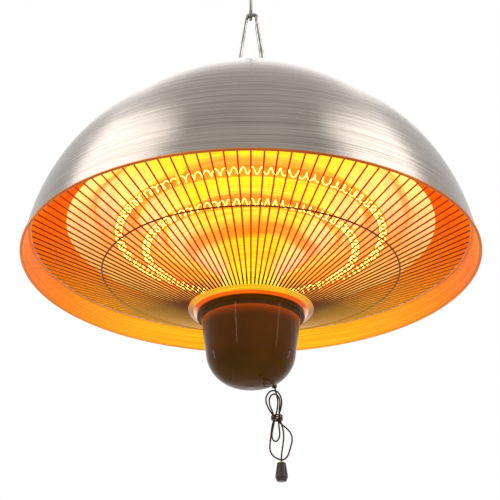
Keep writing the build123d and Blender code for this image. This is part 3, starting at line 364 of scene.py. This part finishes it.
# Painted glow on the guard's wires, from the front (0) over the sides to the back (1)
WIRE_LIGHT = [
    (0.0, "#E8280A"), (0.2, "#C8300E"), (0.38, "#7A3214"), (0.5, "#6A4420"), (0.62, "#9A6C24"),
    (0.8, "#C08828"), (1.0, "#D8A030"),
]


# Painted glow on the guard's middle ring, from the front (0) over the sides to the back (1)
MID_RING_LIGHT = [(0.0, "#6A1E0C"), (0.3, "#46180C"), (0.5, "#5A3018"), (0.72, "#A8742A"), (1.0, "#C89430")]


# The painted glow is left off the wires' inner ends towards the front, up to these radii, so they show dark
# there
DARK_TO_R = 94.0
LIT_FROM_R = 108.0
FRONT_DEPTH = 60.0


def wire_metal(name, stops):
    """Drawn steel with the tubes' light painted on as glow: red towards the front, golden at the back, the
    glow left off where it meets the hub.
    """
    made, tree = start(name)
    radius, _, y, _ = axis_split(tree)
    marks = noise(tree, where(tree), 1.2, 4)
    # Painted glow in the emission, left off at the front near the hub
    front = spread(tree, y, 1.0, 0.0, -FRONT_DEPTH * MM, 0.0)
    no_painted_glow_near_hub = spread(tree, radius, 1.0, 0.0, DARK_TO_R * MM, LIT_FROM_R * MM)
    dark = maths(tree, "SUBTRACT", 1.0, maths(tree, "MULTIPLY", front, no_painted_glow_near_hub))
    strength = maths(tree, "MULTIPLY", dark, spread(tree, marks, 0.62, 0.85))
    bump = relief(tree, marks, 0.2, 0.03)
    shader = add(
        tree,
        "ShaderNodeBsdfPrincipled",
        {"Metallic": 1.0},
        {
            "Base Color": two_colours(tree, marks, "#2A1A14", "#4A3026"),
            "Roughness": spread(tree, marks, 0.28, 0.42),
            "Emission Color": front_to_back(tree, stops),
            "Emission Strength": strength,
            "Normal": bump,
        },
    )
    return end(made, tree, shader.outputs[0])


# Painted reflection of the glow above: a dull red band under the cup's collar, in millimetres
CUP_COLLAR_Z = -70.5
CUP_GLOW_DEPTH = 14.0


def enamel_cup():
    """Glossy brown enamel: narrow highlights, and a painted reflection of the glow above as a dull red band
    under the collar.
    """
    made, tree = start("glossy_brown_enamel_painted_reflection")
    spot = where(tree)
    peel = noise(tree, spot, 2.4, 2)
    cloud = noise(tree, spot, 55.0, 3)
    height = add(tree, "ShaderNodeSeparateXYZ", links={"Vector": spot}).outputs["Z"]
    top = (CUP_COLLAR_Z - RIM_DROP) * MM
    # Painted reflection: a red glow band fading downwards from under the collar
    band = spread(tree, height, 0.0, 1.0, top - CUP_GLOW_DEPTH * MM, top)
    under = maths(tree, "LESS_THAN", height, top)
    painted_reflection_band = maths(tree, "MULTIPLY", maths(tree, "MULTIPLY", band, band), under)
    bump = relief(tree, peel, 0.12, 0.04)
    shader = add(
        tree,
        "ShaderNodeBsdfPrincipled",
        {"Emission Color": colour("#D04806"), "Specular IOR Level": 0.07},
        {
            "Base Color": two_colours(tree, cloud, "#462A00", "#563300"),
            "Roughness": spread(tree, cloud, 0.08, 0.12),
            "Emission Strength": maths(tree, "MULTIPLY", painted_reflection_band, 0.5),
            "Normal": bump,
        },
    )
    return end(made, tree, shader.outputs[0])


def plated_wire(name, light, dark, rough, pit=1.1):
    """Drawn or plated steel: clouded gloss with small pits and drawing marks."""
    made, tree = start(name)
    spot = where(tree)
    pits = noise(tree, spot, pit, 5)
    cloud = noise(tree, spot, 17.0, 2)
    bump = relief(tree, pits, 0.2, 0.04)
    shader = add(
        tree,
        "ShaderNodeBsdfPrincipled",
        {"Metallic": 1.0},
        {
            "Base Color": two_colours(tree, cloud, dark, light),
            "Roughness": spread(tree, pits, rough * 0.7, rough * 1.3),
            "Normal": bump,
        },
    )
    return end(made, tree, shader.outputs[0])


def moulded(name, light, dark, rough, coat=0.0, peel_size=2.0, depth=0.05, metallic=0.0):
    """Enamel, plastic, rubber or ceramic: slight orange peel and cloudy colour."""
    made, tree = start(name)
    spot = where(tree)
    peel = noise(tree, spot, peel_size, 2)
    cloud = noise(tree, spot, 40.0, 3)
    bump = relief(tree, peel, 0.25, depth)
    shader = add(
        tree,
        "ShaderNodeBsdfPrincipled",
        {"Metallic": metallic, "Coat Weight": coat, "Coat Roughness": 0.06},
        {
            "Base Color": two_colours(tree, cloud, dark, light),
            "Roughness": spread(tree, cloud, rough * 0.85, rough * 1.15),
            "Normal": bump,
        },
    )
    return end(made, tree, shader.outputs[0])


# Width of a yarn
YARN = 0.67


def braided(name, light, dark):
    """Cord or sleeve of crossed yarns."""
    made, tree = start(name)
    spot = where(tree)
    cells = add(tree, "ShaderNodeTexVoronoi", {"Scale": 1 / (YARN * MM)}, {"Vector": spot})
    yarns = cells.outputs["Distance"]
    bump = relief(tree, yarns, 0.6, 0.2)
    shader = add(
        tree,
        "ShaderNodeBsdfPrincipled",
        {"Sheen Weight": 0.1, "Specular IOR Level": 0.2},
        {
            "Base Color": two_colours(tree, yarns, light, dark),
            "Roughness": spread(tree, yarns, 0.5, 0.8),
            "Normal": bump,
        },
    )
    return end(made, tree, shader.outputs[0])


# Linear colours and strengths of the tubes' and the wires' glow; the wall's share of glow
GLOW_COLOUR = (1.0, 0.4, 0.04, 1.0)
HOT_COLOUR = (1.0, 0.76, 0.3, 1.0)
TUBE_GLOW = 1.15
WIRE_GLOW = 10.0
GLASS_BODY = 0.17


def hot_wire():
    """White-hot resistance wire, its glow slightly uneven from curl to curl."""
    made, tree = start("white_hot_wire")
    uneven = noise(tree, where(tree), 8.0, 2)
    shader = add(
        tree,
        "ShaderNodeBsdfPrincipled",
        {"Base Color": colour("#8A8176"), "Emission Color": HOT_COLOUR},
        {
            "Emission Strength": spread(tree, uneven, WIRE_GLOW * 0.8, WIRE_GLOW * 1.2),
            "Roughness": spread(tree, uneven, 0.4, 0.6),
        },
    )
    return end(made, tree, shader.outputs[0])


def glowing_glass():
    """Drawn quartz full of light: see-through, with the wire's orange glow in its wall."""
    made, tree = start("glowing_quartz")
    streaks = noise(tree, where(tree), 6.0, 3)
    clear = add(tree, "ShaderNodeBsdfTransparent", {"Color": colour("#FFECC4")}).outputs[0]
    strength = spread(tree, streaks, TUBE_GLOW * 0.85, TUBE_GLOW * 1.15)
    glow = add(tree, "ShaderNodeEmission", {"Color": GLOW_COLOUR}, {"Strength": strength}).outputs[0]
    body = add(tree, "ShaderNodeMixShader", {"Fac": GLASS_BODY})
    tree.links.new(clear, body.inputs[1])
    tree.links.new(glow, body.inputs[2])
    gloss = add(tree, "ShaderNodeBsdfGlossy", {"Roughness": 0.05}).outputs[0]
    facing = add(tree, "ShaderNodeLayerWeight", {"Blend": 0.25}).outputs["Facing"]
    edge = maths(tree, "MULTIPLY", maths(tree, "MULTIPLY", facing, facing), 0.25)
    whole = add(tree, "ShaderNodeMixShader", links={"Fac": edge})
    tree.links.new(body.outputs[0], whole.inputs[1])
    tree.links.new(gloss, whole.inputs[2])
    return end(made, tree, whole.outputs[0])


MATERIALS = {
    "hook_steel": plated_wire("zinc_plated_rod", "#9C978F", "#706B64", 0.2),
    "snap_steel": plated_wire("plated_snap_hook_wire", "#A29D95", "#746F68", 0.16),
    "shade_metal": shade_metal(),
    "reflector_metal": reflector_metal(),
    "cap_metal": spun_metal("brushed_cap", "#CFC8BC", "#A8A094", 0.3, 0.4),
    "stem_metal": plated_wire("plated_stem_and_nuts", "#CBC7BF", "#98938B", 0.25),
    "guard_metal": wire_metal("drawn_guard_wire_painted_glow", WIRE_LIGHT),
    "hub_metal": hub_metal(),
    "glass_tube": glowing_glass(),
    "filament_metal": hot_wire(),
    "ceramic": moulded("glazed_ceramic", "#F2EDE2", "#E0D9CA", 0.35, 0.3),
    "lead_sleeve": braided("woven_lead_sleeve", "#DCD6C6", "#A9A292"),
    "cup_black": enamel_cup(),
    "knob_black": moulded("glossy_dark_moulding", "#38200E", "#221206", 0.25, depth=0.01),
    "cord_dark": braided("dark_braided_cord", "#48260C", "#241204"),
    "gland_black": moulded("matt_gland_moulding", "#2A2725", "#1A1816", 0.6),
    "grommet_rubber": moulded("silicone_grommet", "#46413C", "#312D2A", 0.7),
    "switch_plastic": moulded("heat_proof_moulding", "#45423F", "#32302D", 0.5),
    "contact_brass": moulded("bare_brass", "#D2AC5A", "#B08A3C", 0.3, metallic=1.0),
    "clip_steel": plated_wire("spring_steel_strip", "#E8A860", "#C08038", 0.3),
}


# Pieces whose material differs from their slot's: the guard's outer ring paler, the middle ring with its own
# painted glow, the hub neck and tube clips with the reflector's painted glow
OWN_METALS = {
    "guard_outer_ring": plated_wire("bright_guard_ring", "#E0CDBA", "#B8A28C", 0.25),
    "guard_mid_ring": wire_metal("mid_ring_painted_glow", MID_RING_LIGHT),
    "hub_neck": MATERIALS["reflector_metal"],
    "tube_clips": MATERIALS["reflector_metal"],
}


def dress_nodes():
    """Every CAD node takes its record slot's material."""
    for entry in frame["record"]["subparts"]:
        piece = nodes[entry["node"]]
        made = MATERIALS[entry["material_slot"]]
        if len(piece.material_slots) == 0:
            piece.data.materials.append(made)
        for held in piece.material_slots:
            held.material = made
    for name, made in OWN_METALS.items():
        for held in nodes[name].material_slots:
            held.material = made


# Geometry Nodes


def new_tree(name, inputs):
    """An empty tree with named inputs, and the sockets that they arrive on."""
    tree = bpy.data.node_groups.new(name, "GeometryNodeTree")
    tree.interface.new_socket("Geometry", in_out="OUTPUT", socket_type="NodeSocketGeometry")
    for label, kind in inputs.items():
        tree.interface.new_socket(label, in_out="INPUT", socket_type="NodeSocket" + kind)
    return tree, tree.nodes.new("NodeGroupInput").outputs


def close_tree(tree, shape, material):
    """Shade smooth, realise, set the material and hand the shape out."""
    smooth = add(tree, "GeometryNodeSetShadeSmooth", links={"Geometry": shape}).outputs[0]
    real = add(tree, "GeometryNodeRealizeInstances", links={"Geometry": smooth}).outputs[0]
    dressed = add(tree, "GeometryNodeSetMaterial", links={"Geometry": real, "Material": material})
    add(tree, "NodeGroupOutput", links={"Geometry": dressed.outputs[0]})
    return tree


def bake_tree(name, tree, values):
    """One plain mesh piece from a tree and the values of its named inputs."""
    piece = bpy.data.objects.new(name, bpy.data.meshes.new(name))
    bpy.context.scene.collection.objects.link(piece)
    modifier = piece.modifiers.new("shape", "NODES")
    modifier.node_group = tree
    for item in tree.interface.items_tree:
        if item.in_out == "INPUT":
            modifier[item.identifier] = values[item.name]
    bpy.context.view_layer.update()
    mesh = bpy.data.meshes.new_from_object(piece.evaluated_get(bpy.context.evaluated_depsgraph_get()))
    piece.modifiers.remove(modifier)
    piece.data = mesh
    return piece


def round_wire(tree, path, radius, sides):
    """A path swept with a round section."""
    section = add(tree, "GeometryNodeCurvePrimitiveCircle", {"Resolution": sides}, {"Radius": radius})
    links = {"Curve": path, "Profile Curve": section.outputs["Curve"]}
    return add(tree, "GeometryNodeCurveToMesh", {"Fill Caps": True}, links).outputs["Mesh"]


WOUND_INPUTS = {
    "Points": "Int",
    "Curls": "Float",
    "Start angle": "Float",
    "Sweep": "Float",
    "Ring radius": "Float",
    "Ring height": "Float",
    "Coil radius": "Float",
    "Wire radius": "Float",
    "Material": "Material",
}


def wound_wire_tree():
    """A wire wound along an arc of a ring."""
    tree, given = new_tree("wound_wire", WOUND_INPUTS)
    line = add(tree, "GeometryNodeCurvePrimitiveLine").outputs["Curve"]
    path = add(tree, "GeometryNodeResampleCurve", links={"Curve": line, "Count": given["Points"]}).outputs[0]
    share = add(tree, "GeometryNodeSplineParameter").outputs["Factor"]
    azimuth = maths(tree, "ADD", given["Start angle"], maths(tree, "MULTIPLY", given["Sweep"], share))
    turn = maths(tree, "MULTIPLY", maths(tree, "MULTIPLY", given["Curls"], share), 2 * math.pi)
    out = maths(tree, "MULTIPLY", given["Coil radius"], maths(tree, "COSINE", turn, 0))
    up = maths(tree, "MULTIPLY", given["Coil radius"], maths(tree, "SINE", turn, 0))
    radius = maths(tree, "ADD", given["Ring radius"], out)
    links = {
        "X": maths(tree, "MULTIPLY", radius, maths(tree, "COSINE", azimuth, 0)),
        "Y": maths(tree, "MULTIPLY", radius, maths(tree, "SINE", azimuth, 0)),
        "Z": maths(tree, "ADD", given["Ring height"], up),
    }
    spot = add(tree, "ShaderNodeCombineXYZ", links=links).outputs["Vector"]
    bent = add(tree, "GeometryNodeSetPosition", links={"Geometry": path, "Position": spot}).outputs[0]
    return close_tree(tree, round_wire(tree, bent, given["Wire radius"], 8), given["Material"])


SPOKE_INPUTS = {
    "Count": "Int",
    "Inner end": "Vector",
    "Outer end": "Vector",
    "First angle": "Float",
    "Wire radius": "Float",
    "Material": "Material",
}


def spokes_tree():
    """Straight wires spread evenly round the axis."""
    tree, given = new_tree("guard_spokes", SPOKE_INPUTS)
    links = {"Start": given["Inner end"], "End": given["Outer end"]}
    line = add(tree, "GeometryNodeCurvePrimitiveLine", links=links).outputs["Curve"]
    wire = round_wire(tree, line, given["Wire radius"], 12)
    spots = add(tree, "GeometryNodePoints", links={"Count": given["Count"]}).outputs[0]
    index = add(tree, "GeometryNodeInputIndex").outputs[0]
    step = maths(tree, "DIVIDE", 2 * math.pi, given["Count"])
    angle = maths(tree, "ADD", given["First angle"], maths(tree, "MULTIPLY", index, step))
    turn = add(tree, "ShaderNodeCombineXYZ", links={"Z": angle}).outputs["Vector"]
    links = {"Points": spots, "Instance": wire, "Rotation": turn}
    ring = add(tree, "GeometryNodeInstanceOnPoints", links=links).outputs[0]
    return close_tree(tree, ring, given["Material"])


# Filaments with their full number of curls: ring radius, height and curls
FILAMENTS = {
    "outer_filament": (179.5, 50.4, 96),
    "inner_filament": (141.4, 29.3, 88),
}
RING_GAP = 64.0
FILAMENT_SETBACK = 1.4
FILAMENT_R = 4.3
FILAMENT_WIRE_R = 0.55
POINTS_PER_CURL = 14


def wind_filaments():
    """Both heating wires, with all their curls."""
    tree = wound_wire_tree()
    for name, (ring_r, ring_z, curls) in FILAMENTS.items():
        half = (RING_GAP / 2 + FILAMENT_SETBACK) / ring_r
        values = {
            "Points": curls * POINTS_PER_CURL,
            "Curls": float(curls),
            "Start angle": math.pi / 2 + half,
            "Sweep": 2 * math.pi - 2 * half,
            "Ring radius": ring_r * MM,
            "Ring height": place((0, 0, ring_z))[2],
            "Coil radius": FILAMENT_R * MM,
            "Wire radius": FILAMENT_WIRE_R * MM,
            "Material": MATERIALS["filament_metal"],
        }
        piece = bake_tree(name + "_curls", tree, values)
        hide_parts(name)
        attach(piece, "heater")


# The guard's wires: number, radius, and radius and height of both ends
SPOKES = 112
SPOKE_R = 1.0
SPOKE_ENDS = ((77.5, -53.197), (290.008, 31.177))


def lay_spokes():
    """The guard's straight wires, from the hub plate to the outer ring."""
    inner, outer = (place((radius, 0, height)) for radius, height in SPOKE_ENDS)
    values = {
        "Count": SPOKES,
        "Inner end": inner,
        "Outer end": outer,
        "First angle": -math.pi / 2,
        "Wire radius": SPOKE_R * MM,
        "Material": MATERIALS["guard_metal"],
    }
    piece = bake_tree("guard_spokes", spokes_tree(), values)
    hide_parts("guard_wires")
    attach(piece, "heater")


def press_spring():
    """The switch's return spring, which shortens as the cord is pulled, copied onto its own mesh in the
    heater body.
    """
    node = nodes["switch_spring"]
    piece = node.copy()
    piece.data = node.data.copy()
    piece.name = "switch_spring_coil"
    bpy.context.scene.collection.objects.link(piece)
    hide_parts("switch_spring")
    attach(piece, "heater")
    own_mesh(piece)


# The pull cord's route, as in the CAD
CORD_R = 1.0
CORD_ROUTE = [
    (30, 22, -135.5),
    (30, 22, -150),
    (33.8, 22, -164.2),
    (34.4, 22, -172),
    (33.5, 22, -180),
    (31, 22.2, -189),
    (27, 22.2, -199),
    (25.4, 22.4, -211),
    (24, 22.6, -222),
    (23.2, 23, -231),
    (26.6, 23.4, -238.5),
    (34, 23.8, -243),
    (41, 24.2, -243.8),
    (46.4, 24.4, -238),
    (49, 24.6, -229),
    (52.3, 24.8, -218),
    (50, 24.9, -208.5),
    (42.5, 24.9, -201.5),
    (34.5, 24.8, -195),
    (27.5, 24.8, -186),
    (22, 24.8, -177.5),
    (18.6, 24.8, -168),
    (20.4, 24.9, -159.5),
    (26, 25, -154.2),
    (33, 25, -154.6),
    (37.9, 24.8, -160.5),
    (39.6, 24.4, -169),
    (38.2, 22.8, -178.5),
    (34.9, 20.8, -189),
    (34.8, 19.4, -200),
    (36.1, 19.4, -210),
    (35.6, 19.4, -217),
    (32.4, 19.4, -221.8),
    (28.2, 19.4, -221.2),
    (25.9, 19.3, -216),
    (26.8, 19.2, -208.5),
    (28.6, 19.1, -201),
    (29.9, 18.5, -193),
    (27.2, 17.7, -184),
    (23.4, 17.9, -175),
    (23.2, 18.2, -167),
    (26.6, 18.4, -161.3),
    (32, 18.2, -161),
    (36, 17.7, -165.8),
    (37, 17.1, -173),
    (35.7, 16.7, -182),
    (35.2, 16.6, -191),
    (38.6, 16.8, -201),
    (41.2, 17.3, -212),
    (40.3, 18, -223),
    (38.6, 18.6, -233),
    (37.5, 19.2, -241),
    (37.5, 19.2, -248),
]


def hang_cord():
    """The pull cord as one smooth curve along its route."""
    data = bpy.data.curves.new("pull_cord_curve", "CURVE")
    data.dimensions = "3D"
    data.bevel_depth = CORD_R * MM
    data.bevel_resolution = 4
    data.resolution_u = 8
    data.use_fill_caps = True
    spline = data.splines.new("NURBS")
    spline.points.add(len(CORD_ROUTE) - 1)
    for held, point in zip(spline.points, CORD_ROUTE):
        held.co = (*place(point), 1.0)
    spline.order_u = 3
    spline.use_endpoint_u = True
    data.materials.append(MATERIALS["cord_dark"])
    piece = bpy.data.objects.new("pull_cord_curve", data)
    bpy.context.scene.collection.objects.link(piece)
    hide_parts("pull_cord")
    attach(piece, "pull")


# Studio
FLOOR_Z = -3.2
FLOOR_SIZE = 14.0
SURROUND = (0.7, 0.69, 0.68, 1.0)
# name, place, size, power, colour
LAMPS = [
    ("left_panel", (-2.0, -0.6, 1.35), (2.0, 1.8), 36.0, "#FFFFFF"),
    ("right_panel", (2.0, -0.75, 1.35), (1.7, 1.8), 31.0, "#FFFFFF"),
    ("back_panel", (0.0, 2.0, 1.9), (2.6, 2.2), 38.0, "#FFFFFF"),
    ("far_left_strip", (-1.51, 0.52, -0.68), (0.02, 0.5), 1.3, "#FFF2DC"),
    ("left_strip", (-0.9, -1.33, -0.42), (0.02, 0.3), 0.6, "#FFF2DC"),
    ("right_strip", (1.45, -0.68, -0.5), (0.03, 0.5), 0.9, "#FFF2DC"),
    ("far_right_strip", (1.47, 0.62, -0.68), (0.02, 0.5), 0.9, "#FFF2DC"),
]
# Small lamps along the tubes, which light the pieces round them
GLOW_LAMPS = 10
GLOW_LAMP_R = 160.0
GLOW_LAMP_Z = 36.0
GLOW_LAMP_POWER = 0.4
GLOW_LAMP_SIZE = 0.012
AIM = Vector((0.0, 0.0, -0.42))


def light_studio():
    """Soft panels, narrow strips for the cup's highlights, and the tubes' own light."""
    for name, spot, size, power, tint in LAMPS:
        data = bpy.data.lights.new(name, "AREA")
        data.shape = "RECTANGLE"
        data.size, data.size_y = size
        data.energy = power
        data.color = colour(tint)[:3]
        lamp = bpy.data.objects.new(name, data)
        lamp.location = spot
        lamp.rotation_euler = (AIM - Vector(spot)).to_track_quat("-Z", "Y").to_euler()
        lamp.visible_camera = False
        bpy.context.scene.collection.objects.link(lamp)
    for i in range(GLOW_LAMPS):
        azimuth = 2 * math.pi * (i + 0.5) / GLOW_LAMPS
        data = bpy.data.lights.new("tube_light", "POINT")
        data.energy = GLOW_LAMP_POWER
        data.color = GLOW_COLOUR[:3]
        data.shadow_soft_size = GLOW_LAMP_SIZE
        lamp = bpy.data.objects.new("tube_light", data)
        x, y = GLOW_LAMP_R * math.cos(azimuth), GLOW_LAMP_R * math.sin(azimuth)
        lamp.location = place((x, y, GLOW_LAMP_Z))
        lamp.visible_camera = False
        lamp.visible_glossy = False
        bpy.context.scene.collection.objects.link(lamp)


def make_surroundings():
    """White to the camera, in reflections and through glass; soft grey to other light."""
    world = bpy.data.worlds.new("studio")
    bpy.context.scene.world = world
    world.use_nodes = True
    tree = world.node_tree
    tree.nodes.clear()
    path = add(tree, "ShaderNodeLightPath")
    soft = add(tree, "ShaderNodeBackground", {"Color": SURROUND, "Strength": 1.0}).outputs[0]
    white = add(tree, "ShaderNodeBackground", {"Color": (1, 1, 1, 1), "Strength": 1.0}).outputs[0]
    seen = maths(tree, "MAXIMUM", path.outputs["Is Camera Ray"], path.outputs["Is Glossy Ray"])
    seen = maths(tree, "MAXIMUM", seen, path.outputs["Is Transmission Ray"])
    pick = add(tree, "ShaderNodeMixShader", links={"Fac": seen})
    tree.links.new(soft, pick.inputs[1])
    tree.links.new(white, pick.inputs[2])
    add(tree, "ShaderNodeOutputWorld", links={"Surface": pick.outputs[0]})


def make_floor():
    """Pale plain floor far below."""
    half = FLOOR_SIZE / 2
    mesh = bpy.data.meshes.new("floor")
    corners = [(x * half, y * half, FLOOR_Z) for x, y in ((-1, -1), (1, -1), (1, 1), (-1, 1))]
    mesh.from_pydata(corners, [], [(0, 1, 2, 3)])
    mesh.materials.append(moulded("pale_floor", "#F4F3F1", "#F0EFED", 0.8))
    floor = bpy.data.objects.new("floor", mesh)
    bpy.context.scene.collection.objects.link(floor)


make_camera()
hang_cord()
dress_nodes()
wind_filaments()
lay_spokes()
press_spring()
light_studio()
make_surroundings()
make_floor()
